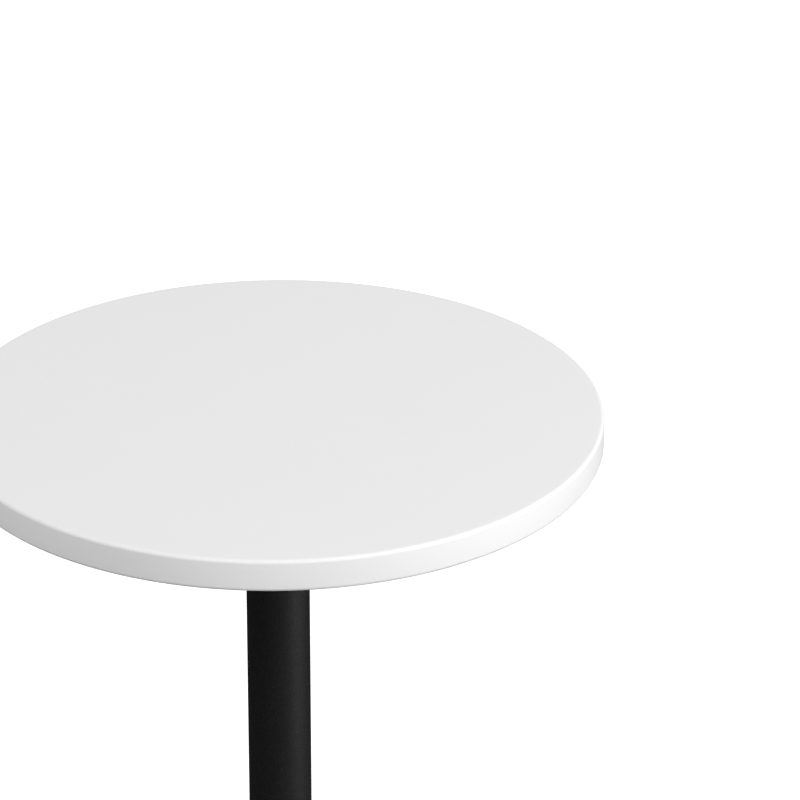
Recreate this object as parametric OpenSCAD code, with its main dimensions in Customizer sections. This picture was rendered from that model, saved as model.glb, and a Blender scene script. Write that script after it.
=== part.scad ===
// Round pedestal bistro table: lacquered top, cast spider, steel tube column,
// cast-iron disc base held by one tie rod, and four screw-adjusted swivel feet.
// Origin: on the floor, on the column's axis. +Z is up. Units are millimetres.

/* [Overall] */
// Height of the table with its feet screwed fully in
table_h = 750; // [700:5:780]

/* [Tabletop] */
// Diameter of the round top
top_d = 610; // [560:5:700]
// Thickness of the board
top_t = 31; // [25:1:32]
// Radius of the rounded upper and lower rims
top_edge_r = 3.5; // [2:0.5:8]

/* [Column] */
// Outside diameter of the steel tube
column_d = 60; // [57:1:64]
// Wall of the steel tube
column_wall = 2; // [1.5:0.5:3]

/* [Base] */
// Diameter of the cast base
base_d = 440; // [420:5:480]
// Height of the casting's rim, from its lower edge to its upper edge
base_rim_h = 21; // [20:1:26]
// Rise of the upper face from the rim to the column
base_rise = 3; // [2:0.5:6]
// Gap between the floor and the rim, feet screwed in
base_gap = 6; // [6:0.5:8]

/* [Feet] */
// Diameter of the circle that the feet stand on
foot_circle_d = 380; // [360:5:384]
// Diameter of a swivel pad
pad_d = 30; // [28:1:32]

/* [Hidden] */
$fn = 96;

top_z = table_h - top_t;      // underside of the board
slip = 0.05;                  // radial clearance of turned and threaded fits
black = [0.10, 0.10, 0.11];
white = [0.92, 0.92, 0.91];
zinc = [0.72, 0.73, 0.74];
nylon = [0.07, 0.07, 0.07];
grey_rubber = [0.22, 0.22, 0.22];

// M6 fixing screws, their inserts and washers
screw_d = 6;
screw_head_d = 10.5;
screw_head_h = 3.3;
screw_crown_d = 6.7;          // flat end of the button head
screw_head_rim = 0.8;         // straight part of the head at its seat
screw_socket_af = 4;
screw_socket_depth = 2.1;
screw_l = 25;
washer_d = 12;
washer_hole_d = 6.4;
washer_t = 1.6;
insert_d = 9.5;
insert_flange_d = 12.5;
insert_flange_t = 1;
insert_l = 15;
insert_pocket = 17;           // depth of the drilled pocket in the board

// Cast spider
arm_start = 18;               // inside the hub
arm_reach = 130;              // centre of an arm's round end
arm_root_w = 19;              // half width where an arm starts
arm_tip_w = 12;               // half width where it meets its round end
arm_end_r = 14.5;
arm_plate_t = 5;              // web
arm_depth = 11;               // web and rim together
arm_rim = 4;                  // thickness of the rim round each arm
boss_r = 9;
hole_r = 3.5;
hole_reach = [70, 130];       // screw holes along each arm
hub_r = 36;
hub_h = 18;
spigot_l = 14;
spigot_slip = 0.1;
column_r = column_d / 2;
bore_r = column_r - column_wall;

// Tie rod, M12
rod_r = 6;
rod_bottom = 4.5;             // end of the rod above the floor
rod_top = top_z - 3;
rod_chamfer = 1;
rod_washer_hole_r = 6.4;

// Cast base
base_r = base_d / 2;
rim_top = base_gap + base_rim_h;
hub_top = rim_top + base_rise;
base_wall = 7;
skirt_t = 8;
base_edge_r = 4;              // rounded upper rim
skirt_draft = 1.5;            // slope of the skirt's inner face
skin = 2;                     // how far ribs and bosses stop below the upper face
seat_depth = 3;               // recess that centres the tube
seat_slip = 0.25;
rod_hole_r = rod_r + 0.5;
collar_flat_r = column_r + 4; // level ring round the foot of the column
boss_face = 18;               // machined face under the hub, above the floor
boss_face_r = 30;
rib_t = 6;
rib_face = 12;                // lower edge of the ribs, above the floor
ring_r = 118;                 // ring rib
column_foot = hub_top - seat_depth;
column_head = top_z - hub_h;

// Washers and nut under the base
rod_washer_r = 18.5;
rod_washer_t = 2.5;
spring_r = 10.6;
spring_t = 3;
spring_gap = 1.2;
spring_gap_at = 20;           // direction of the gap, degrees
nut_af = 18;
nut_t = 6;

// Feet
foot_r = foot_circle_d / 2;
foot_angles = [45, 135, 225, 315];
foot_boss_r = 12;
foot_boss_face = 13.5;        // machined face that the hexagon collar stops at
spot_face_r = 18;
stud_r = 4;
stud_top = 23.8;
stud_chamfer = 1;
stud_hole_top = 24.2;
hex_af = 13;
hex_t = 4;
collar_gap = 0.3;
ball_r = 3.5;
ball_z = 6.75;
neck_r = 2.4;
pad_h = 8.6;
pad_base_z = 0.5;             // the sole stands this far below the pad
pad_crown_r = 6.2;
pad_neck_r = 7.7;             // where the flare meets the short crown
pad_skirt_h = 3;              // height of the pad's outer edge above the floor
pad_bevel = 0.5;
pad_crown_h = 1.2;
pad_mouth_r = 3;              // mouth of the socket, narrower than the ball
sole_r = 12.5;
sole_t = 2;

// ---------------------------------------------------------------- helpers

// Across-corners radius of a hexagon with this width across flats
function hex_r(af) = af / sqrt(3);

// Hexagonal prism whose corners are turned off at 30 degrees on both faces
module chamfered_hex(af, t) {
    r = hex_r(af);
    face_r = af / 2 * 0.98;
    cut = (r - face_r) * tan(30);
    intersection() {
        cylinder(r = r, h = t, $fn = 6);
        rotate_extrude() polygon([[0, 0], [face_r, 0], [r, cut], [r, t - cut], [face_r, t], [0, t]]);
    }
}

// Plain ring
module ring(r_out, r_in, t) {
    difference() {
        cylinder(r = r_out, h = t);
        translate([0, 0, -1]) cylinder(r = r_in, h = t + 2);
    }
}

// Places children at each screw hole of the spider
module at_spider_holes() {
    for (a = foot_angles, r = hole_reach) rotate(a) translate([r, 0, 0]) children();
}

// ---------------------------------------------------------------- top

// Board section: a rectangle from the axis with both outer corners rounded
module board_section() {
    r = top_edge_r;
    edge = top_d / 2;
    square([edge - r, top_t]);
    translate([edge - r, r]) square([r, top_t - 2 * r]);
    for (z = [r, top_t - r]) translate([edge - r, z]) circle(r = r);
}

module tabletop() {
    color(white) translate([0, 0, top_z]) difference() {
        rotate_extrude($fn = 240) board_section();
        at_spider_holes() {
            translate([0, 0, -1]) cylinder(r = insert_d / 2 + slip, h = insert_pocket + 1);
            translate([0, 0, -1]) cylinder(r = insert_flange_d / 2 + slip, h = insert_flange_t + 1);
        }
    }
}

module threaded_insert() {
    difference() {
        union() {
            cylinder(r = insert_flange_d / 2, h = insert_flange_t);
            cylinder(r = insert_d / 2, h = insert_l);
        }
        translate([0, 0, -1]) cylinder(r = screw_d / 2 + slip, h = insert_l + 2);
    }
}

module top_inserts() {
    color(zinc) translate([0, 0, top_z]) at_spider_holes() threaded_insert();
}

// ---------------------------------------------------------------- spider

// Outline of the four arms, drawn in from their edges by inset
module arms_plan(inset) {
    root_w = arm_root_w - inset;
    tip_w = arm_tip_w - inset;
    for (a = foot_angles) rotate(a) {
        polygon([[arm_start, -root_w], [arm_reach, -tip_w], [arm_reach, tip_w], [arm_start, root_w]]);
        translate([arm_reach, 0]) circle(r = arm_end_r - inset);
    }
}

module spider() {
    color(black) translate([0, 0, top_z]) mirror([0, 0, 1]) difference() {
        union() {
            difference() {
                linear_extrude(arm_depth) arms_plan(0);
                translate([0, 0, arm_plate_t]) linear_extrude(arm_depth) arms_plan(arm_rim);
            }
            at_spider_holes() cylinder(r = boss_r, h = arm_depth);
            cylinder(r = hub_r, h = hub_h);
            cylinder(r = bore_r - spigot_slip, h = hub_h + spigot_l);
        }
        at_spider_holes() translate([0, 0, -1]) cylinder(r = hole_r, h = arm_depth + 2);
        translate([0, 0, -1]) cylinder(r = rod_r + slip, h = hub_h + spigot_l + 2);
    }
}

// Button-head screw, head down, with a blind hexagon socket
module button_screw() {
    difference() {
        union() {
            translate([0, 0, -screw_head_h])
                cylinder(d1 = screw_crown_d, d2 = screw_head_d, h = screw_head_h - screw_head_rim);
            translate([0, 0, -screw_head_rim]) cylinder(d = screw_head_d, h = screw_head_rim);
            cylinder(d = screw_d, h = screw_l);
        }
        translate([0, 0, -screw_head_h - 1])
            cylinder(r = hex_r(screw_socket_af), h = screw_socket_depth + 1, $fn = 6);
    }
}

module spider_screws() {
    color(zinc) translate([0, 0, top_z - arm_depth - washer_t]) at_spider_holes() button_screw();
}

module spider_washers() {
    color(zinc) translate([0, 0, top_z - arm_depth - washer_t])
        at_spider_holes() ring(washer_d / 2, washer_hole_d / 2, washer_t);
}

// ---------------------------------------------------------------- column

module column_tube() {
    color(black) translate([0, 0, column_foot]) ring(column_r, bore_r, column_head - column_foot);
}

module tie_rod() {
    length = rod_top - rod_bottom;
    end_r = rod_r - rod_chamfer;
    color(zinc) translate([0, 0, rod_bottom]) {
        cylinder(r1 = end_r, r2 = rod_r, h = rod_chamfer);
        translate([0, 0, rod_chamfer]) cylinder(r = rod_r, h = length - 2 * rod_chamfer);
        translate([0, 0, length - rod_chamfer]) cylinder(r1 = rod_r, r2 = end_r, h = rod_chamfer);
    }
}

// ---------------------------------------------------------------- base

// Half section of the casting's shell: gently rising upper face, rounded rim and a skirt
module base_shell_section() {
    in_r = base_r - skirt_t;
    flat_r = base_r - base_edge_r;
    edge_z = rim_top - base_edge_r;
    inner_top = hub_top - base_wall;
    difference() {
        union() {
            polygon([[0, edge_z], [base_r, edge_z], [flat_r, rim_top],
                [collar_flat_r, hub_top], [0, hub_top]]);
            translate([flat_r, edge_z]) circle(r = base_edge_r);
            translate([0, base_gap]) square([base_r, edge_z - base_gap]);
        }
        polygon([[-1, base_gap - 1], [in_r, base_gap - 1], [in_r - skirt_draft, rim_top - base_wall],
            [collar_flat_r, inner_top], [-1, inner_top]]);
    }
}

// Cast iron stiffening under the shell: hub boss, ring rib, radial ribs and foot bosses
module base_stiffening() {
    rib_h = rim_top - skin - rib_face;
    rib_end = base_r - skirt_t / 2;
    rib_start = boss_face_r - skin;
    translate([0, 0, boss_face]) cylinder(r = boss_face_r, h = hub_top - skin - boss_face);
    translate([0, 0, rib_face]) ring(ring_r + rib_t / 2, ring_r - rib_t / 2, rib_h);
    for (a = [0 : 45 : 315]) rotate(a)
        translate([rib_start, -rib_t / 2, rib_face]) cube([rib_end - rib_start, rib_t, rib_h]);
    for (a = foot_angles) rotate(a)
        translate([foot_r, 0, foot_boss_face]) cylinder(r = foot_boss_r, h = rim_top - skin - foot_boss_face);
}

module base_casting() {
    color(black) difference() {
        union() {
            rotate_extrude($fn = 240) base_shell_section();
            base_stiffening();
        }
        // machined seat for the tube and a hole for the rod
        translate([0, 0, column_foot]) cylinder(r = column_r + seat_slip, h = seat_depth + 1);
        translate([0, 0, -1]) cylinder(r = rod_hole_r, h = hub_top + 2);
        // spot face and tapped hole for each foot
        for (a = foot_angles) rotate(a) translate([foot_r, 0, 0]) {
            translate([0, 0, -1]) cylinder(r = spot_face_r, h = foot_boss_face + 1);
            cylinder(r = stud_r, h = stud_hole_top);
        }
    }
}

module rod_washer() {
    color(zinc) translate([0, 0, boss_face - rod_washer_t])
        ring(rod_washer_r, rod_washer_hole_r, rod_washer_t);
}

// Split lock washer, with its ends a narrow gap apart
module rod_spring_washer() {
    color(zinc) translate([0, 0, boss_face - rod_washer_t - spring_t]) difference() {
        ring(spring_r, rod_washer_hole_r, spring_t);
        rotate(spring_gap_at) translate([0, -spring_gap / 2, -1])
            cube([spring_r + 1, spring_gap, spring_t + 2]);
    }
}

module rod_nut() {
    color(zinc) translate([0, 0, boss_face - rod_washer_t - spring_t - nut_t]) difference() {
        chamfered_hex(nut_af, nut_t);
        translate([0, 0, -1]) cylinder(r = rod_r + slip, h = nut_t + 2);
    }
}

// ---------------------------------------------------------------- feet

module at_foot(i) {
    rotate(foot_angles[i - 1]) translate([foot_r, 0, 0]) children();
}

// Moulded pad: a flared disc with a snap-in socket for the ball and a recess for the sole
module foot_pad(i) {
    r = pad_d / 2;
    color(nylon) at_foot(i) difference() {
        rotate_extrude() polygon([[0, pad_base_z], [r - pad_bevel, pad_base_z], [r, pad_base_z + pad_bevel],
            [r, pad_skirt_h], [pad_neck_r, pad_h - pad_crown_h], [pad_crown_r, pad_h], [0, pad_h]]);
        translate([0, 0, ball_z]) sphere(r = ball_r + slip);
        translate([0, 0, ball_z]) cylinder(r = pad_mouth_r, h = pad_h);
        translate([0, 0, -1]) cylinder(r = sole_r, h = sole_t + 1);
    }
}

module foot_sole(i) {
    color(grey_rubber) at_foot(i) cylinder(r = sole_r, h = sole_t);
}

// Ball-ended levelling screw with a hexagon collar
module foot_screw(i) {
    collar_z = foot_boss_face - collar_gap - hex_t;
    color(zinc) at_foot(i) {
        translate([0, 0, ball_z]) sphere(r = ball_r);
        translate([0, 0, ball_z]) cylinder(r = neck_r, h = collar_z - ball_z + 1);
        translate([0, 0, collar_z]) chamfered_hex(hex_af, hex_t);
        translate([0, 0, collar_z]) cylinder(r = stud_r - slip, h = stud_top - stud_chamfer - collar_z);
        translate([0, 0, stud_top - stud_chamfer])
            cylinder(r1 = stud_r - slip, r2 = stud_r - stud_chamfer, h = stud_chamfer);
    }
}

// ---------------------------------------------------------------- nodes

tabletop();
top_inserts();
spider();
spider_screws();
spider_washers();
column_tube();
tie_rod();
base_casting();
rod_washer();
rod_spring_washer();
rod_nut();
foot_pad(1);  // foot_1_pad
foot_sole(1);  // foot_1_sole
foot_screw(1);  // foot_1_screw
foot_pad(2);  // foot_2_pad
foot_sole(2);  // foot_2_sole
foot_screw(2);  // foot_2_screw
foot_pad(3);  // foot_3_pad
foot_sole(3);  // foot_3_sole
foot_screw(3);  // foot_3_screw
foot_pad(4);  // foot_4_pad
foot_sole(4);  // foot_4_sole
foot_screw(4);  // foot_4_screw
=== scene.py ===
import math

import bmesh
import bpy
import numpy as np
from mathutils import Matrix, Vector


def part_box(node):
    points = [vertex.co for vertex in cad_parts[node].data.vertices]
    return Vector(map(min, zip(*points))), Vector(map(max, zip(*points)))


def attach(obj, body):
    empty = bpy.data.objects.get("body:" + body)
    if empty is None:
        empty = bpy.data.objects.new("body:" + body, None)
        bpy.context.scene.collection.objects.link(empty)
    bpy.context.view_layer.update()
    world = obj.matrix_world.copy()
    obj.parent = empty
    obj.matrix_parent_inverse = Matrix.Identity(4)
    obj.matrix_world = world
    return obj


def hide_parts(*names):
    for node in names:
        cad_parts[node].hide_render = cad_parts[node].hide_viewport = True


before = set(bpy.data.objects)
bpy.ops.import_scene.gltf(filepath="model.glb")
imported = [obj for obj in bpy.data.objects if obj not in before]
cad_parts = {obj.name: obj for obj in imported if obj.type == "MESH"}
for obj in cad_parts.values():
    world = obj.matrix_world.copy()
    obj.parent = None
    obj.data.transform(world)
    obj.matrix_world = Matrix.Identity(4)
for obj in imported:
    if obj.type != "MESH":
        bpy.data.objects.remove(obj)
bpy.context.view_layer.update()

MM = 0.001
TURN = 2 * math.pi
FEET = (1, 2, 3, 4)


# ---------------------------------------------------------------- mesh helpers

def smooth_step(t):
    t = np.clip(t, 0.0, 1.0)
    return t * t * (3 - 2 * t)


def rounded(corners, steps=6, loop=False):
    """Outline through (across, up, radius) corners, each corner with a radius turned into an arc."""
    out = []
    count = len(corners)
    for i, (x, z, r) in enumerate(corners):
        if r == 0 or (not loop and i in (0, count - 1)):
            out.append((x, z))
            continue
        p = np.array((x, z), float)
        before = np.array(corners[i - 1][:2], float) - p
        after = np.array(corners[(i + 1) % count][:2], float) - p
        before /= np.linalg.norm(before)
        after /= np.linalg.norm(after)
        half = math.acos(np.clip(before @ after, -1, 1)) / 2
        middle = (before + after) / np.linalg.norm(before + after)
        centre = p + middle * r / math.sin(half)
        start = p + before * r / math.tan(half) - centre
        end = p + after * r / math.tan(half) - centre
        a0 = math.atan2(start[1], start[0])
        sweep = math.atan2(end[1], end[0]) - a0
        sweep = (sweep + math.pi) % TURN - math.pi
        for k in range(steps + 1):
            a = a0 + sweep * k / steps
            out.append((centre[0] + r * math.cos(a), centre[1] + r * math.sin(a)))
    return out


def angles(columns):
    return np.arange(columns) * TURN / columns


def turned(rows, theta, loop=False):
    """Vertices and faces of rows round the upright axis. A row is (radius, height), numbers or one value per angle.
    A row of radius 0 is one vertex. With loop the last row joins the first."""
    verts, index = [], []
    n = len(theta)
    for r, z in rows:
        r = np.broadcast_to(r, n)
        z = np.broadcast_to(z, n)
        if np.all(r == 0):
            index.append([len(verts)] * n)
            verts.append((0, 0, z[0]))
            continue
        index.append(list(range(len(verts), len(verts) + n)))
        verts.extend(zip(r * np.cos(theta), r * np.sin(theta), z))
    faces = []
    pairs = list(zip(index, index[1:]))
    if loop:
        pairs.append((index[-1], index[0]))
    for a, b in pairs:
        for j in range(n):
            k = (j + 1) % n
            face = list(dict.fromkeys((a[j], a[k], b[k], b[j])))
            if len(face) > 2:
                faces.append(face)
    return verts, faces


def skin(rows, n, loop=False):
    """Faces between rows of n vertices each. With loop the last row joins the first, and without it both ends are
    capped."""
    faces = []
    for i in range(rows if loop else rows - 1):
        k = (i + 1) % rows
        faces.extend((i * n + j, i * n + (j + 1) % n, k * n + (j + 1) % n, k * n + j) for j in range(n))
    if not loop:
        faces.append(tuple(range(n)))
        faces.append(tuple(range((rows - 1) * n, rows * n)))
    return faces


def thread(r_major, pitch, z0, z1, columns):
    """Right-hand screw thread from z0 to z1, tapered at z1 to below its root and full at z0."""
    r_minor = r_major - 0.54 * pitch
    end_r = r_minor - 0.15 * MM
    phases = ((0.0, r_major), (0.125, r_major), (0.4375, r_minor), (0.6875, r_minor))
    n = len(phases)
    turns = int((z1 - z0) / pitch) + 3
    verts, faces = [], []
    for k in range(-n, turns * n):
        share, r = phases[k % n]
        for j in range(columns):
            a = TURN * j / columns
            z = z0 + pitch * (k // n + share + j / columns)
            if z <= z0:
                verts.append((r_major * math.cos(a), r_major * math.sin(a), z0))
                continue
            here = min(r, end_r + max(0.0, z1 - z)) if z < z1 else end_r
            here = max(here, r_major - max(0.0, z - z0))
            z = min(z, z1)
            verts.append((here * math.cos(a), here * math.sin(a), z))
    rows = turns * n + n
    for k in range(rows - n):
        for j in range(columns):
            a, b = k * columns + j, (k + 1) * columns + j
            if j + 1 < columns:
                faces.append((a, a + 1, b + 1, b))
            elif k + n + 1 < rows:
                faces.append((a, (k + n) * columns, (k + n + 1) * columns, b))
    return verts, faces


def join(*parts):
    verts, faces = [], []
    for v, f in parts:
        base = len(verts)
        verts.extend(v)
        faces.extend(tuple(i + base for i in face) for face in f)
    return verts, faces


def moved(part, x=0.0, y=0.0, z=0.0, turn=0.0):
    c, s = math.cos(turn), math.sin(turn)
    return [(x + c * a - s * b, y + s * a + c * b, z + h) for a, b, h in part[0]], part[1]


def make_mesh(name, part, sharp=35, close_holes=False):
    """One mesh from vertices and faces: joined where they meet, normals outward, smooth except at edges over sharp
    degrees."""
    mesh = bpy.data.meshes.new(name)
    mesh.from_pydata([tuple(map(float, v)) for v in part[0]], [], part[1])
    bm = bmesh.new()
    bm.from_mesh(mesh)
    bmesh.ops.remove_doubles(bm, verts=bm.verts, dist=1e-6)
    bmesh.ops.dissolve_degenerate(bm, edges=bm.edges, dist=1e-7)
    if close_holes:
        bmesh.ops.holes_fill(bm, edges=[e for e in bm.edges if e.is_boundary], sides=0)
    bmesh.ops.recalc_face_normals(bm, faces=bm.faces)
    bm.to_mesh(mesh)
    bm.free()
    finish_shading(mesh, sharp)
    return mesh


def finish_shading(mesh, sharp=35):
    mesh.shade_smooth()
    mesh.set_sharp_from_angle(angle=math.radians(sharp))


def show(name, mesh, at=(0, 0, 0), turn=0.0):
    obj = bpy.data.objects.new(name, mesh)
    bpy.context.scene.collection.objects.link(obj)
    obj.location = at
    obj.rotation_euler = (0, 0, turn)
    return obj


def combine(mesh, other, how, sharp=35):
    """Boolean of two meshes. how is UNION or DIFFERENCE."""
    a = bpy.data.objects.new("combine_a", mesh)
    b = bpy.data.objects.new("combine_b", other)
    for obj in (a, b):
        bpy.context.scene.collection.objects.link(obj)
    modifier = a.modifiers.new("combine", "BOOLEAN")
    modifier.operation = how
    modifier.object = b
    modifier.solver = "EXACT"
    graph = bpy.context.evaluated_depsgraph_get()
    result = bpy.data.meshes.new_from_object(a.evaluated_get(graph))
    for obj in (a, b):
        bpy.data.objects.remove(obj)
    result.name = mesh.name
    finish_shading(result, sharp)
    return result


def place(obj, body, material, slot, *nodes):
    obj.data.materials.clear()
    obj.data.materials.append(material)
    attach(obj, body)
    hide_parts(*nodes)


def hexagon(across_flats, theta):
    """Radius of a hexagon at each angle, a corner at angle 0."""
    return across_flats / 2 / np.cos(theta % (math.pi / 3) - math.pi / 6)


def hexagon_rows(across_flats, theta, z0, z1):
    """Rows of a hexagon from z0 to z1, its corners chamfered at 30 degrees at both ends."""
    flats, face_r = hexagon(across_flats, theta), across_flats / 2 * 0.96
    chamfer = (flats - face_r) * math.tan(math.radians(30))
    return [(face_r, z0), (flats, z0 + chamfer), (flats, z1 - chamfer), (face_r, z1)]


# ---------------------------------------------------------------- materials

def fill_ramp(node, stops):
    """Set a colour ramp's stops of (position, grey or colour)."""
    elements = node.color_ramp.elements
    while len(elements) < len(stops):
        elements.new(1.0)
    for element, (at, shade) in zip(elements, stops):
        element.position = at
        element.color = (*shade, 1) if isinstance(shade, tuple) else (shade, shade, shade, 1)


class Nodes:
    """A material's node tree, with short calls to add nodes and join them."""

    def __init__(self, name):
        self.material = bpy.data.materials.new(name)
        self.material.use_nodes = True
        self.tree = self.material.node_tree
        self.shader = self.tree.nodes["Principled BSDF"]
        self.where = self.add("ShaderNodeTexCoord").outputs["Object"]

    def add(self, kind, **values):
        node = self.tree.nodes.new(kind)
        for key, value in values.items():
            setattr(node, key, value)
        return node

    def link(self, source, target):
        self.tree.links.new(source, target)

    def set(self, **values):
        for key, value in values.items():
            self.shader.inputs[key.replace("_", " ")].default_value = value

    def noise(self, size, detail=2.0, rough=0.5):
        """Soft noise whose lumps are about size metres across."""
        node = self.add("ShaderNodeTexNoise")
        self.link(self.where, node.inputs["Vector"])
        node.inputs["Scale"].default_value = 1 / size
        node.inputs["Detail"].default_value = detail
        node.inputs["Roughness"].default_value = rough
        return node.outputs["Fac"]

    def cells(self, size):
        """Packed round cells about size metres across."""
        node = self.add("ShaderNodeTexVoronoi", feature="SMOOTH_F1")
        self.link(self.where, node.inputs["Vector"])
        node.inputs["Scale"].default_value = 1 / size
        node.inputs["Smoothness"].default_value = 0.4
        return node.outputs["Distance"]

    def remap(self, value, low, high, to_low, to_high):
        node = self.add("ShaderNodeMapRange")
        self.link(value, node.inputs["Value"])
        for key, number in zip(("From Min", "From Max", "To Min", "To Max"), (low, high, to_low, to_high)):
            node.inputs[key].default_value = number
        return node.outputs["Result"]

    def ramp(self, value, stops):
        node = self.add("ShaderNodeValToRGB")
        self.link(value, node.inputs["Fac"])
        fill_ramp(node, stops)
        return node.outputs["Color"]

    def bump(self, *layers):
        """Bumps in layers of (height output, depth in metres), the last one finest."""
        normal = None
        for height, depth in layers:
            node = self.add("ShaderNodeBump")
            node.inputs["Strength"].default_value = 1.0
            node.inputs["Distance"].default_value = depth
            self.link(height, node.inputs["Height"])
            if normal is not None:
                self.link(normal, node.inputs["Normal"])
            normal = node.outputs["Normal"]
        self.link(normal, self.shader.inputs["Normal"])


def white_lacquer():
    """Sprayed satin lacquer: faint orange peel, and gloss that varies a little."""
    m = Nodes("white_satin_lacquer")
    m.set(Specular_IOR_Level=0.28)
    m.link(m.ramp(m.noise(2 * MM, 2), ((0.3, 0.80), (0.7, 0.812))), m.shader.inputs["Base Color"])
    m.link(m.remap(m.noise(40 * MM, 2), 0.3, 0.7, 0.44, 0.50), m.shader.inputs["Roughness"])
    m.bump((m.noise(3 * MM, 1), 0.004 * MM), (m.noise(1.2 * MM, 2), 0.006 * MM))
    return m.material


def powder_coat(name, tint, rough, coarse):
    """Fine-texture black powder coat: packed bumps about a millimetre across, and flecks that are glossier and whose
    lighter colour is a painted glint, bright whatever the light. coarse adds a cast skin below."""
    m = Nodes(name)
    m.set(Specular_IOR_Level=0.52)
    gloss_and_painted_glint_flecks = m.noise(0.8 * MM, 1)
    # Painted glint: the flecks' base colour rises to seven times the tint. Their lower roughness, set below, is real
    # gloss.
    m.link(m.ramp(gloss_and_painted_glint_flecks, ((0.45, tint * 0.7), (0.62, tint), (0.75, tint * 7))), m.shader.inputs["Base Color"])
    gloss = m.add("ShaderNodeMath", operation="MULTIPLY")
    m.link(m.remap(m.noise(2.5 * MM, 3), 0.3, 0.7, rough - 0.06, rough + 0.06), gloss.inputs[0])
    m.link(m.ramp(gloss_and_painted_glint_flecks, ((0.60, 1.0), (0.70, 0.5))), gloss.inputs[1])
    m.link(gloss.outputs["Value"], m.shader.inputs["Roughness"])
    layers = [(m.cells(1.3 * MM), 0.08 * MM), (m.noise(0.7 * MM, 2), 0.09 * MM)]
    if coarse:
        layers.insert(0, (m.noise(7 * MM, 4, 0.6), 0.5 * MM))
    m.bump(*layers)
    return m.material


def zinc_plate():
    """Bright zinc over steel: slightly blue, with cloudy gloss and a very fine bump."""
    m = Nodes("bright_zinc")
    m.set(Metallic=1.0)
    cloud = m.noise(5 * MM, 4, 0.6)
    m.link(m.ramp(cloud, ((0.3, (0.55, 0.56, 0.58)), (0.7, (0.68, 0.69, 0.70)))), m.shader.inputs["Base Color"])
    m.link(m.remap(cloud, 0.3, 0.7, 0.36, 0.24), m.shader.inputs["Roughness"])
    m.bump((m.noise(0.9 * MM, 3), 0.01 * MM))
    return m.material


def moulded(name, tint, rough, grain, depth):
    """Moulded nylon or rubber with the fine grain of a spark-eroded mould."""
    m = Nodes(name)
    m.set(Specular_IOR_Level=0.4)
    m.link(m.ramp(m.noise(4 * MM, 3), ((0.35, tint * 0.9), (0.65, tint * 1.1))), m.shader.inputs["Base Color"])
    m.link(m.remap(m.noise(grain * 3, 2), 0.3, 0.7, rough - 0.05, rough + 0.05), m.shader.inputs["Roughness"])
    m.bump((m.noise(grain, 2), depth))
    return m.material


LACQUER = white_lacquer()
COLUMN_COAT = powder_coat("black_fine_texture", 0.005, 0.6, False)
CAST_COAT = powder_coat("black_fine_texture_on_casting", 0.008, 0.6, True)
ZINC = zinc_plate()
NYLON = moulded("black_nylon", 0.02, 0.5, 0.5 * MM, 0.01 * MM)
RUBBER = moulded("grey_rubber", 0.13, 0.7, 0.4 * MM, 0.015 * MM)


# ---------------------------------------------------------------- tabletop

top_low, top_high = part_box("tabletop")
TOP_R = (top_high.x - top_low.x) / 2
TOP_UNDER, TOP_FACE = top_low.z, top_high.z
TOP_EDGE_R, UNDER_EDGE_R = 3.5 * MM, 4.5 * MM
# Each spider screw's place, and the direction of its arm.
screw_places = [(r * math.cos(a), r * math.sin(a), a)
                for a in (math.pi / 4 * k for k in (1, 3, 5, 7)) for r in (70 * MM, 130 * MM)]


def tabletop():
    theta = angles(640)
    face = [(TOP_R * share, TOP_FACE, 0) for share in (0.97, 0.8, 0.5, 0.2)]
    under = [(TOP_R * share, TOP_UNDER, 0) for share in (0.2, 0.8, 0.97)]
    outline = rounded([(0, TOP_UNDER, 0), *under, (TOP_R, TOP_UNDER, UNDER_EDGE_R), (TOP_R, TOP_FACE, TOP_EDGE_R),
                       *face, (0, TOP_FACE, 0)], 10)
    mesh = make_mesh("tabletop", turned(outline, theta))
    r, flange_r, depth, flange_t, out = 4.8 * MM, 6.3 * MM, 17 * MM, 1 * MM, 2 * MM
    pocket = turned([(0, -out), (flange_r, -out), (flange_r, flange_t), (r, flange_t), (r, depth), (0, depth)],
                    angles(40))
    pockets = join(*(moved(pocket, x, y, TOP_UNDER) for x, y, a in screw_places))
    mesh = combine(mesh, make_mesh("pockets", pockets), "DIFFERENCE")
    place(show("white_tabletop", mesh), "root", LACQUER, "white_lacquer", "tabletop")


def top_inserts():
    theta = angles(48)
    knurl = 4.75 * MM - 0.22 * MM * (0.5 + 0.5 * np.cos(theta * 24))
    plain, bore, flange = 4.45 * MM, 3.05 * MM, 6.25 * MM
    rows = [(bore + 0.4 * MM, 0), (flange - 0.2 * MM, 0), (flange, 0.2 * MM), (flange, 0.8 * MM), (plain, 1 * MM),
            (plain, 2 * MM), (knurl, 2.4 * MM), (knurl, 7 * MM), (plain, 7.4 * MM), (plain, 8.6 * MM),
            (knurl, 9 * MM), (knurl, 13.6 * MM), (plain, 15 * MM), (bore + 0.4 * MM, 15 * MM),
            (bore, 14.6 * MM), (bore, 0.4 * MM)]
    one = turned(rows, theta, loop=True)
    mesh = make_mesh("inserts", join(*(moved(one, x, y, TOP_UNDER, a) for x, y, a in screw_places)))
    place(show("threaded_inserts", mesh), "root", ZINC, "zinc_steel", "top_inserts")


# ---------------------------------------------------------------- spider

ARM_START, ARM_REACH, ARM_END_R = 18 * MM, 130 * MM, 14.5 * MM
ARM_ROOT_W, ARM_TIP_W = 19 * MM, 12 * MM
ARM_WEB, ARM_DEPTH, HUB_DEPTH = 5 * MM, 11 * MM, 18 * MM
SPIDER_LOW, SPIDER_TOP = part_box("spider")[0].z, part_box("spider")[1].z
BOSS_FACE = SPIDER_TOP - ARM_DEPTH


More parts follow.
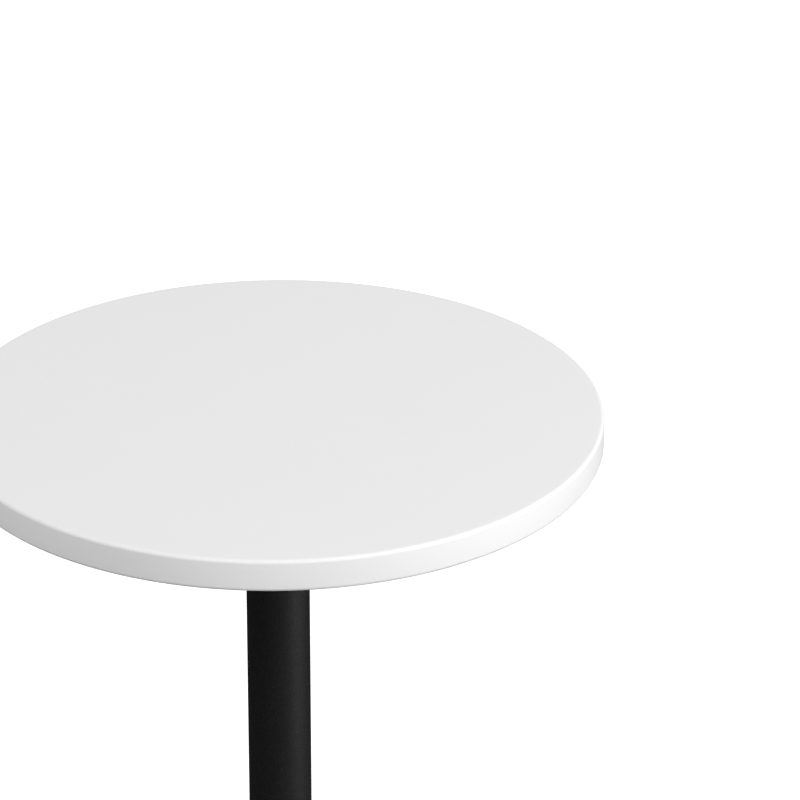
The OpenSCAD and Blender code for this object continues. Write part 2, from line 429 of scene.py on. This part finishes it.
def arm_half_width(x):
    """Half the width of a tapered arm at x from the axis, blended into its round end."""
    side = ARM_ROOT_W + (ARM_TIP_W - ARM_ROOT_W) * (x - ARM_START) / (ARM_REACH - ARM_START)
    end = np.sqrt(np.maximum(0, ARM_END_R ** 2 - (x - ARM_REACH) ** 2))
    blend = 1.2 * MM
    return (side + end + np.sqrt((side - end) ** 2 + blend ** 2)) / 2


def spider_outline():
    """The four arms' outline, anticlockwise, with rounded crotches between the arms."""
    tip = [(ARM_REACH + ARM_END_R * math.cos(a), ARM_END_R * math.sin(a))
           for a in np.radians(np.arange(-80, 81, 10))]
    along = np.r_[np.linspace(ARM_REACH, ARM_REACH - 2 * ARM_END_R, 14), np.linspace(90, 48, 5) * MM]
    upper = [(x, float(arm_half_width(x))) for x in along]
    fillet_r, corner = 20 * MM, 18.94 * MM
    far = (48 * MM, float(arm_half_width(np.array(48 * MM))))
    crotch = rounded([(*far, 0), (corner, corner, fillet_r), (far[1], far[0], 0)], 10)[1:-1]
    lower = [(x, -y) for x, y in reversed(upper)]
    arm = np.array(lower + tip + upper + crotch)
    points = []
    for k in range(4):
        a = math.pi / 4 + k * math.pi / 2
        turn = np.array(((math.cos(a), math.sin(a)), (-math.sin(a), math.cos(a))))
        points.append(arm @ turn)
    return np.concatenate(points)


def inset_rows(outline, rows):
    """A closed solid whose outline is drawn in by (inset, height) rows and capped at both ends."""
    tangent = np.roll(outline, -1, 0) - np.roll(outline, 1, 0)
    tangent /= np.linalg.norm(tangent, axis=1)[:, None]
    inward = np.c_[-tangent[:, 1], tangent[:, 0]]
    verts = [(x, y, z) for inset, z in rows for x, y in outline + inward * inset]
    return verts, skin(len(rows), len(outline))


def spider():
    t = SPIDER_TOP
    web, low = t - ARM_WEB, BOSS_FACE
    arms = inset_rows(spider_outline(), [
        (0.6 * MM, t), (0.15 * MM, t - 0.2 * MM), (0, t - 0.7 * MM), (0.2 * MM, low + 1 * MM),
        (0.5 * MM, low + 0.3 * MM), (1.1 * MM, low), (3.1 * MM, low), (3.8 * MM, low + 0.3 * MM),
        (4.1 * MM, low + 1 * MM), (4.5 * MM, web - 1.3 * MM), (4.9 * MM, web - 0.4 * MM), (5.7 * MM, web)])
    hub_r, spigot_r = 36 * MM, 27.9 * MM
    hub_low = t - HUB_DEPTH
    hub = turned(rounded([(0, t - 0.01 * MM, 0), (hub_r, t - 0.01 * MM, 0), (hub_r + 4 * MM, web, 0),
                          (hub_r, web - 3 * MM, 3 * MM), (hub_r, hub_low, 1.2 * MM), (spigot_r, hub_low, 0),
                          (spigot_r, SPIDER_LOW, 1.5 * MM), (0, SPIDER_LOW, 0)], 5), angles(128))
    boss = turned(rounded([(0, web + 1 * MM, 0), (10.5 * MM, web + 1 * MM, 0), (9.2 * MM, web - 1.2 * MM, 1.2 * MM),
                           (9 * MM, low, 0.6 * MM), (0, low, 0)], 4), angles(48))
    bosses = join(*(moved(boss, x, y) for x, y, a in screw_places))
    mesh = combine(make_mesh("spider", arms), make_mesh("hub", hub), "UNION")
    mesh = combine(mesh, make_mesh("bosses", bosses), "UNION")
    hole = turned([(0, low - 2 * MM), (3.5 * MM, low - 2 * MM), (3.5 * MM, t + 2 * MM), (0, t + 2 * MM)], angles(40))
    bore = turned([(0, SPIDER_LOW - 2 * MM), (8 * MM, SPIDER_LOW - 2 * MM), (6.05 * MM, SPIDER_LOW + 1 * MM),
                   (6.05 * MM, t + 2 * MM), (0, t + 2 * MM)], angles(64))
    holes = join(bore, *(moved(hole, x, y) for x, y, a in screw_places))
    mesh = combine(mesh, make_mesh("spider_holes", holes), "DIFFERENCE")
    place(show("cast_spider", mesh), "root", CAST_COAT, "black_casting", "spider")


def spider_screws():
    """Button-head screws, head down, with a hexagon socket and a rolled thread."""
    theta = angles(72)
    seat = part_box("spider_washers")[0].z
    head_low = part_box("spider_screws")[0].z
    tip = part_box("spider_screws")[1].z
    head_r, crown_r, socket = 5.25 * MM, 3.3 * MM, hexagon(4 * MM, theta)
    socket_end = head_low + 2.1 * MM
    dome = rounded([(crown_r, head_low, 0), (crown_r + 0.5 * MM, head_low, 1.5 * MM), (head_r, seat - 0.8 * MM, 0)], 8)
    rows = [(0, socket_end + 0.6 * MM), (socket * 0.97, socket_end), (socket, socket_end),
            (socket, head_low + 0.15 * MM), (2.45 * MM, head_low), *dome, (head_r, seat - 0.2 * MM),
            (head_r - 0.2 * MM, seat), (3.2 * MM, seat), (3 * MM, seat + 0.2 * MM)]
    shank = thread(3 * MM, 1 * MM, seat + 0.2 * MM, tip, len(theta))
    one = join(turned(rows, theta), shank)
    parts = join(*(moved(one, x, y, 0, a) for x, y, a in screw_places))
    mesh = make_mesh("screws", parts, 30, True)
    place(show("button_head_screws", mesh), "root", ZINC, "zinc_steel", "spider_screws")


def plain_washer(r_out, r_in, z0, z1):
    """Stamped washer: one edge rounded by the punch."""
    edge = 0.25 * (z1 - z0)
    return rounded([(r_in, z0, edge * 0.5), (r_out, z0, edge), (r_out, z1, edge * 0.5), (r_in, z1, edge)], 4, True)


def spider_washers():
    low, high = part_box("spider_washers")
    one = turned(plain_washer(6 * MM, 3.2 * MM, low.z, high.z), angles(64), loop=True)
    mesh = make_mesh("washers", join(*(moved(one, x, y) for x, y, a in screw_places)))
    place(show("spider_washer_set", mesh), "root", ZINC, "zinc_steel", "spider_washers")


# ---------------------------------------------------------------- column and tie rod

def column():
    low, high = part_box("column_tube")
    r, wall, edge = (high.x - low.x) / 2, 2 * MM, 0.4 * MM
    outline = rounded([(r - wall, low.z, edge), (r, low.z, edge), (r, high.z, edge), (r - wall, high.z, edge)], 4, True)
    mesh = make_mesh("column", turned(outline, angles(256), loop=True))
    place(show("column_tube_coated", mesh), "root", COLUMN_COAT, "black_powder_coat", "column_tube")


def tie_rod():
    """M12 rod with a thread rolled on each end."""
    theta = angles(72)
    low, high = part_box("tie_rod")
    r, neck, length = 6 * MM, 5.5 * MM, 45 * MM
    upper = thread(r, 1.75 * MM, high.z - length, high.z, len(theta))
    lower = thread(r, 1.75 * MM, 0, length, len(theta))
    flipped = [(x, -y, low.z + length - z) for x, y, z in lower[0]], lower[1]
    middle = turned([(r, low.z + length), (neck, low.z + length + r - neck), (neck, high.z - length - r + neck),
                     (r, high.z - length)], theta)
    mesh = make_mesh("tie_rod", join(flipped, middle, upper), 30, True)
    place(show("tie_rod_m12", mesh), "root", ZINC, "zinc_steel", "tie_rod")


# ---------------------------------------------------------------- base

base_low, base_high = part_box("base_casting")
BASE_R = (base_high.x - base_low.x) / 2
SKIRT_Z, HUB_TOP = base_low.z, base_high.z
SEAT_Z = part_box("column_tube")[0].z
SEAT_R, SEAT_RIM_R = 30.25 * MM, 34 * MM
ROD_HOLE_R = 6.5 * MM
HUB_BOSS_R, HUB_FACE = 30 * MM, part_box("rod_washer")[1].z
FOOT_R = (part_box("foot_1_pad")[0].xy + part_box("foot_1_pad")[1].xy).length / 2
FOOT_BOSS_R, FOOT_FACE, SPOT_R = 12 * MM, 13.5 * MM, 18 * MM
RIB_HALF, RIB_FACE, RING_R = 3 * MM, 12 * MM, 118 * MM
SKIRT_IN_R = BASE_R - 8 * MM
SHELL_T, CROWN_DROP = 7 * MM, 3 * MM
RIM_TOP = HUB_TOP - CROWN_DROP
CAST_FILLET = 2.5 * MM
SKIRT_SLOPE, SPOT_SLOPE = 9.0, 8.0
RIBS = 8


def soft_min(a, b, size):
    """The lower of two heights, with a fillet of about size where they cross."""
    h = np.clip(0.5 + 0.5 * (b - a) / size, 0, 1)
    return b + (a - b) * h - size * h * (1 - h)


def wall(beyond):
    """Rise of a drafted side wall at a distance beyond the edge of its face, the edge itself rounded."""
    soft, slope = 0.3 * MM, 7.0
    return slope * soft * np.logaddexp(0, (beyond - 0.5 * MM) / soft)


def under_height(r, across, along):
    """Height of the casting's underside at r from the axis, across from the nearest rib's middle and along it.
    Also the height of a foot boss there, and the distance from its middle."""
    share = np.clip((r - SEAT_RIM_R) / (BASE_R - 38 * MM), 0, 1)
    shell = HUB_TOP - SHELL_T - CROWN_DROP * share
    skirt = SKIRT_Z + SKIRT_SLOPE * np.maximum(0, SKIRT_IN_R - r)
    rib = RIB_FACE + wall(np.abs(across) - RIB_HALF)
    ring = RIB_FACE + wall(np.abs(r - RING_R) - RIB_HALF)
    hub = HUB_FACE + wall(r - HUB_BOSS_R)
    foot = np.hypot(along - FOOT_R, across)
    boss = FOOT_FACE + wall(foot - FOOT_BOSS_R)
    height = soft_min(shell, skirt, CAST_FILLET)
    for feature in (hub, ring, np.where(r > HUB_BOSS_R - 2 * MM, rib, shell)):
        height = soft_min(height, feature, CAST_FILLET)
    return height, boss, foot


def base_columns(r):
    """Angles of the columns at radius r: close together beside each rib and foot boss, even between them."""
    beside_rib = (0.8, 1.6, 2.3, 2.8, 3.2, 3.6, 4.2, 5, 6.2, 7.5)
    beside_boss = (9, 10.2, 11.2, 12, 12.8, 13.8, 15.2, 16.6, 17.6, 18.3, 19.2, 21)
    offsets = np.array(beside_rib + beside_boss) * MM
    half = math.pi / RIBS
    even = half * np.arange(1, len(offsets) + 1) / (len(offsets) + 1)
    near = np.minimum(np.arcsin(np.minimum(offsets / r, 1)), even)
    between = near[-1] + (half - near[-1]) * np.arange(1, 8) / 8
    side = np.r_[near, between]
    sector = np.r_[-side[::-1], 0, side, half]
    return np.concatenate([sector + 2 * half * k for k in range(RIBS)])


def base_casting():
    """Cast disc, its rows running from the rod's hole over the top and round the skirt, then back to the hole over
    the ribbed underside."""
    edge, middle = 4 * MM, BASE_R * 0.5
    middle_z = HUB_TOP - CROWN_DROP * (middle - SEAT_RIM_R) / (BASE_R - edge - SEAT_RIM_R)
    top = rounded([(ROD_HOLE_R, SEAT_Z, 0), (SEAT_R, SEAT_Z, 0), (SEAT_R, HUB_TOP, 0.5 * MM),
                   (SEAT_RIM_R, HUB_TOP, 0.8 * MM), (middle, middle_z, 0),
                   (BASE_R - edge, RIM_TOP, 0), (BASE_R, RIM_TOP, edge), (BASE_R, SKIRT_Z, 1.2 * MM),
                   (SKIRT_IN_R, SKIRT_Z, 0)], 8)
    radii = np.r_[np.linspace(SKIRT_IN_R, SKIRT_IN_R - 4 * MM, 14)[1:], np.linspace(207.4, 171.4, 37) * MM,
                  np.linspace(168, 126, 9) * MM, np.linspace(124, 112, 19) * MM, np.linspace(109, 40, 12) * MM,
                  np.linspace(36, 27, 16) * MM, np.array((22, 14, 7.2)) * MM]
    verts = []

    def add_row(r, theta, height):
        verts.extend(zip(r * np.cos(theta), r * np.sin(theta), np.broadcast_to(height, len(theta))))

    for r, z in top:
        add_row(r, base_columns(r), z)
    for r in radii:
        theta = base_columns(r)
        rib_angle = np.round(theta / (TURN / RIBS)) * TURN / RIBS
        beside = theta - rib_angle
        across, along = r * np.sin(beside), r * np.cos(beside)
        height, boss, foot = under_height(np.full(len(theta), r), across, along)
        diagonal = np.abs(np.sin(2 * rib_angle)) > 0.5
        spot_face = FOOT_FACE - SPOT_SLOPE * np.maximum(0, foot - SPOT_R)
        with_boss = np.maximum(soft_min(height, boss, CAST_FILLET), spot_face)
        add_row(r, theta, np.where(diagonal, with_boss, height))
    theta = base_columns(ROD_HOLE_R)
    add_row(ROD_HOLE_R, theta, HUB_FACE + 0.5 * MM)
    mesh = make_mesh("base", (verts, skin(len(verts) // len(theta), len(theta), loop=True)), 40)
    hole_top = 24.2 * MM
    hole = turned([(0, 10 * MM), (4.6 * MM, 10 * MM), (4.6 * MM, FOOT_FACE), (4 * MM, FOOT_FACE + 0.6 * MM),
                   (4 * MM, hole_top), (0, hole_top + 2 * MM)], angles(48))
    holes = join(*(moved(hole, *foot_at(i)[:2]) for i in FEET))
    mesh = combine(mesh, make_mesh("foot_holes", holes), "DIFFERENCE", 40)
    place(show("base_disc_cast", mesh), "root", CAST_COAT, "black_casting", "base_casting")


def rod_fixings():
    theta = angles(72)
    low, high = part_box("rod_washer")
    washer = turned(plain_washer(18.5 * MM, 6.4 * MM, low.z, high.z), angles(128), loop=True)
    place(show("rod_washer_m12", make_mesh("rod_washer", washer)), "root", ZINC, "zinc_steel", "rod_washer")
    low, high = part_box("rod_nut")
    r_in, lead_in = 6.05 * MM, 0.8 * MM
    rows = [(r_in, low.z + lead_in), (r_in + lead_in, low.z), *hexagon_rows(18 * MM, theta, low.z, high.z),
            (r_in + lead_in, high.z), (r_in, high.z - lead_in)]
    nut = make_mesh("rod_nut", turned(rows, theta, loop=True), 20)
    place(show("rod_nut_m12", nut), "root", ZINC, "zinc_steel", "rod_nut")


def spring_washer():
    """Split lock washer with a square section, drawn flat as it is when tight."""
    low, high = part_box("rod_spring_washer")
    r_out, r_in, gap, at = 10.6 * MM, 6.4 * MM, 1.2 * MM, math.radians(20)
    section = rounded([(r_in, low.z, 0.3 * MM), (r_out, low.z, 0.3 * MM), (r_out, high.z, 0.3 * MM),
                       (r_in, high.z, 0.3 * MM)], 3, True)
    cuts = np.linspace(0, 1, 73)
    verts = []
    for share in cuts:
        for r, z in section:
            a = at + gap / 2 / r + (TURN - gap / r) * share
            verts.append((r * math.cos(a), r * math.sin(a), z))
    mesh = make_mesh("spring_washer", (verts, skin(len(cuts), len(section))))
    place(show("split_lock_washer", mesh), "root", ZINC, "zinc_steel", "rod_spring_washer")


# ---------------------------------------------------------------- feet

def foot_at(i):
    """Where foot i stands, and the direction of that point from the axis."""
    low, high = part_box(f"foot_{i}_pad")
    x, y = (low.x + high.x) / 2, (low.y + high.y) / 2
    return x, y, math.atan2(y, x)


def foot_pad_mesh():
    """Moulded pad: flared skirt with gussets, a crown with the ball's socket, slit so that the ball snaps in."""
    theta = angles(144)
    low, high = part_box("foot_1_pad")
    r, z0, z1 = (high.x - low.x) / 2, low.z, high.z
    ball_z, socket_r, mouth_r, sole_r, sole_z = 6.75 * MM, 3.55 * MM, 3.05 * MM, 12.5 * MM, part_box("foot_1_sole")[1].z
    neck_r, neck_z, crown_r, skirt_z = 7.7 * MM, 7.4 * MM, 6.2 * MM, 3 * MM
    gusset = smooth_step((np.cos(theta * 8) - 0.8) / 0.15)
    outer = rounded([(sole_r, z0, 0), (r, z0, 0.5 * MM), (r, skirt_z, 0.8 * MM),
                     (neck_r + 1.4 * MM, skirt_z + 1.2 * MM, 2 * MM), (neck_r, neck_z, 1 * MM),
                     (crown_r, z1, 0.3 * MM), (mouth_r + 0.25 * MM, z1, 0)], 5)
    rows = [(0, sole_z), (sole_r, sole_z)]
    for x, z in outer:
        between = neck_r < x < r - 0.4 * MM and z > skirt_z - 0.3 * MM
        straight = skirt_z + (neck_z - skirt_z) * (r - x) / (r - neck_r)
        rows.append((x, z + (max(0.0, straight - z - 0.2 * MM) * gusset if between else 0)))
    mouth = math.asin(mouth_r / socket_r)
    for a in np.linspace(mouth, math.pi, 12):
        rows.append((socket_r * math.sin(a) if a < math.pi else 0, ball_z + socket_r * math.cos(a)))
    mesh = make_mesh("foot_pad", turned(rows, theta), 30)
    half_slit, reach, slit_low = 0.25 * MM, 8 * MM, 7.2 * MM
    box = [(-reach, -half_slit), (reach, -half_slit), (reach, half_slit), (-reach, half_slit)]
    corners = [(x, y, z) for z in (slit_low, z1 + 1 * MM) for x, y in box]
    sides = [(0, 1, 2, 3), (4, 5, 6, 7), (0, 1, 5, 4), (1, 2, 6, 5), (2, 3, 7, 6), (3, 0, 4, 7)]
    for turn in (0, math.pi / 2):
        mesh = combine(mesh, make_mesh("slit", moved((corners, sides), turn=turn)), "DIFFERENCE", 30)
    return mesh


def foot_sole_mesh():
    """Rubber disc with three grip grooves in its face."""
    low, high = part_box("foot_1_sole")
    r, z0, z1 = (high.x - low.x) / 2, low.z, high.z
    corners = [(0, z0, 0)]
    for groove in (4, 7, 10):
        for x, z in ((-0.6, z0), (-0.3, z0 + 0.5 * MM), (0.3, z0 + 0.5 * MM), (0.6, z0)):
            corners.append(((groove + x) * MM, z, 0.12 * MM))
    corners += [(r, z0, 0.4 * MM), (r, z1, 0.1 * MM), (0, z1, 0)]
    return make_mesh("foot_sole", turned(rounded(corners, 3), angles(96)))


def foot_screw_mesh():
    """Ball-ended levelling screw: ball, neck, hexagon collar and M8 thread."""
    theta = angles(72)
    low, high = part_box("foot_1_screw")
    ball_r, ball_z, neck_r = 3.5 * MM, low.z + 3.5 * MM, 2.4 * MM
    collar_low, collar_high = 9.2 * MM, 13.2 * MM
    rows = [(0, low.z)]
    for a in np.linspace(math.pi, math.asin(neck_r / ball_r), 18)[1:]:
        rows.append((ball_r * math.sin(a), ball_z + ball_r * math.cos(a)))
    stud_r = 3.95 * MM
    rows += [(neck_r, collar_low - 0.3 * MM), (neck_r + 0.3 * MM, collar_low),
             *hexagon_rows(13 * MM, theta, collar_low, collar_high),
             (stud_r + 0.2 * MM, collar_high), (stud_r, collar_high + 0.2 * MM)]
    stud = thread(stud_r, 1.25 * MM, collar_high + 0.2 * MM, high.z, len(theta))
    return make_mesh("foot_screw", join(turned(rows, theta), stud), 25, True)


def feet():
    pad, sole, screw = foot_pad_mesh(), foot_sole_mesh(), foot_screw_mesh()
    for i in FEET:
        x, y, a = foot_at(i)
        at = (x, y, 0)
        place(show(f"foot_{i}_swivel_pad", pad, at, a), f"foot_{i}", NYLON, "black_nylon", f"foot_{i}_pad")
        place(show(f"foot_{i}_rubber_sole", sole, at, a), f"foot_{i}", RUBBER, "grey_rubber", f"foot_{i}_sole")
        place(show(f"foot_{i}_levelling_screw", screw, at, a), f"foot_{i}_stud", ZINC, "zinc_steel", f"foot_{i}_screw")


tabletop()
top_inserts()
spider()
spider_screws()
spider_washers()
column()
tie_rod()
base_casting()
rod_fixings()
spring_washer()
feet()


# ---------------------------------------------------------------- studio

def direction(azimuth, elevation):
    """Unit vector towards azimuth degrees to the right of the camera's side, elevation degrees up."""
    a, e = math.radians(azimuth), math.radians(elevation)
    return Vector((math.sin(a) * math.cos(e), -math.cos(a) * math.cos(e), math.sin(e)))


def studio_floor():
    """Pale floor that curves up into a wall far away. It doesn't light the table: the world does, from all sides."""
    outline = rounded([(0, 0, 0), (4, 0, 0), (16, 0, 6), (16, 16, 0)], 12)
    floor = show("studio_floor", make_mesh("studio_floor", turned(outline, angles(96)), 60))
    m = Nodes("studio_paper")
    m.link(m.ramp(m.noise(0.5, 2), ((0.3, 0.55), (0.7, 0.56))), m.shader.inputs["Base Color"])
    m.set(Roughness=0.9, Specular_IOR_Level=0.1, Emission_Color=(1, 1, 1, 1), Emission_Strength=0.78)
    floor.data.materials.append(m.material)
    floor.visible_diffuse = False
    floor.visible_glossy = False
    floor.visible_shadow = False


def height_ramp(nodes, links, value, stops):
    """Ramp of (height of the direction from -1 to 1, grey) stops."""
    ramp = nodes.new("ShaderNodeValToRGB")
    fill_ramp(ramp, [((height + 1) / 2, grey) for height, grey in stops])
    links.new(value, ramp.inputs["Fac"])
    return ramp.outputs["Color"]


def world_light():
    """Soft light from all round, dim from below. Mirrored rays see darker sides, so that dark surfaces stay dark."""
    world = bpy.data.worlds.new("soft_studio")
    world.use_nodes = True
    nodes, links = world.node_tree.nodes, world.node_tree.links
    where = nodes.new("ShaderNodeTexCoord")
    split = nodes.new("ShaderNodeSeparateXYZ")
    span = nodes.new("ShaderNodeMapRange")
    ray = nodes.new("ShaderNodeLightPath")
    mix = nodes.new("ShaderNodeMix")
    mix.data_type = "RGBA"
    span.inputs["From Min"].default_value = -1
    links.new(where.outputs["Generated"], split.inputs[0])
    links.new(split.outputs["Z"], span.inputs["Value"])
    height = span.outputs["Result"]
    lit = height_ramp(nodes, links, height, ((-0.4, 0.02), (-0.16, 0.42), (0, 1.05), (0.24, 0.02), (0.6, 0.51)))
    mirrored = height_ramp(nodes, links, height, ((-0.4, 0.005), (0, 0.02), (0.24, 0.03), (0.6, 0.5)))
    links.new(ray.outputs["Is Glossy Ray"], mix.inputs["Factor"])
    links.new(lit, mix.inputs["A"])
    links.new(mirrored, mix.inputs["B"])
    links.new(mix.outputs["Result"], nodes["Background"].inputs["Color"])
    nodes["Background"].inputs["Strength"].default_value = 2
    bpy.context.scene.world = world


def soft_light(name, azimuth, elevation, distance, size, irradiance):
    """Round area light that faces the middle of the tabletop from distance, with irradiance in W/m2 there."""
    light = bpy.data.lights.new(name, "AREA")
    light.shape = "DISK"
    light.size = size
    light.energy = irradiance * math.pi * distance ** 2
    obj = bpy.data.objects.new(name, light)
    bpy.context.scene.collection.objects.link(obj)
    way = direction(azimuth, elevation)
    obj.location = Vector((0, 0, TOP_FACE)) + way * distance
    obj.rotation_euler = way.to_track_quat("Z", "Y").to_euler()
    obj.visible_camera = False


def camera():
    """Long lens above the near side, turned right and rolled a little as the picture is framed."""
    elevation, distance, lens = 25.415, 5.0, 242.11
    yaw, pitch, roll = -1.321, 0.115, 0.665
    back = direction(0, elevation)
    ahead, right = -back, Vector((1, 0, 0))
    up = right.cross(ahead)
    for axis, degrees in (("up", yaw), ("right", pitch), ("ahead", roll)):
        turn = Matrix.Rotation(math.radians(degrees), 3, {"up": up, "right": right, "ahead": ahead}[axis])
        ahead, right, up = turn @ ahead, turn @ right, turn @ up
    data = bpy.data.cameras.new("camera")
    data.lens = lens
    data.sensor_width = 36
    data.clip_start, data.clip_end = 0.1, 60
    obj = bpy.data.objects.new("camera", data)
    matrix = Matrix((right, up, -ahead)).transposed().to_4x4()
    matrix.translation = Vector((0, 0, TOP_FACE)) + back * distance
    obj.matrix_world = matrix
    bpy.context.scene.collection.objects.link(obj)
    bpy.context.scene.camera = obj


studio_floor()
world_light()
soft_light("key", 60, 18, 4, 1.2, 1.2)
soft_light("low_key", 70, -12, 4, 3.2, 0.55)
soft_light("front_fill", 20, 25, 4, 2, 0.2)
camera()
view_settings = bpy.context.scene.view_settings
view_settings.view_transform = "Standard"
view_settings.look = "None"
view_settings.exposure = 0
view_settings.gamma = 1
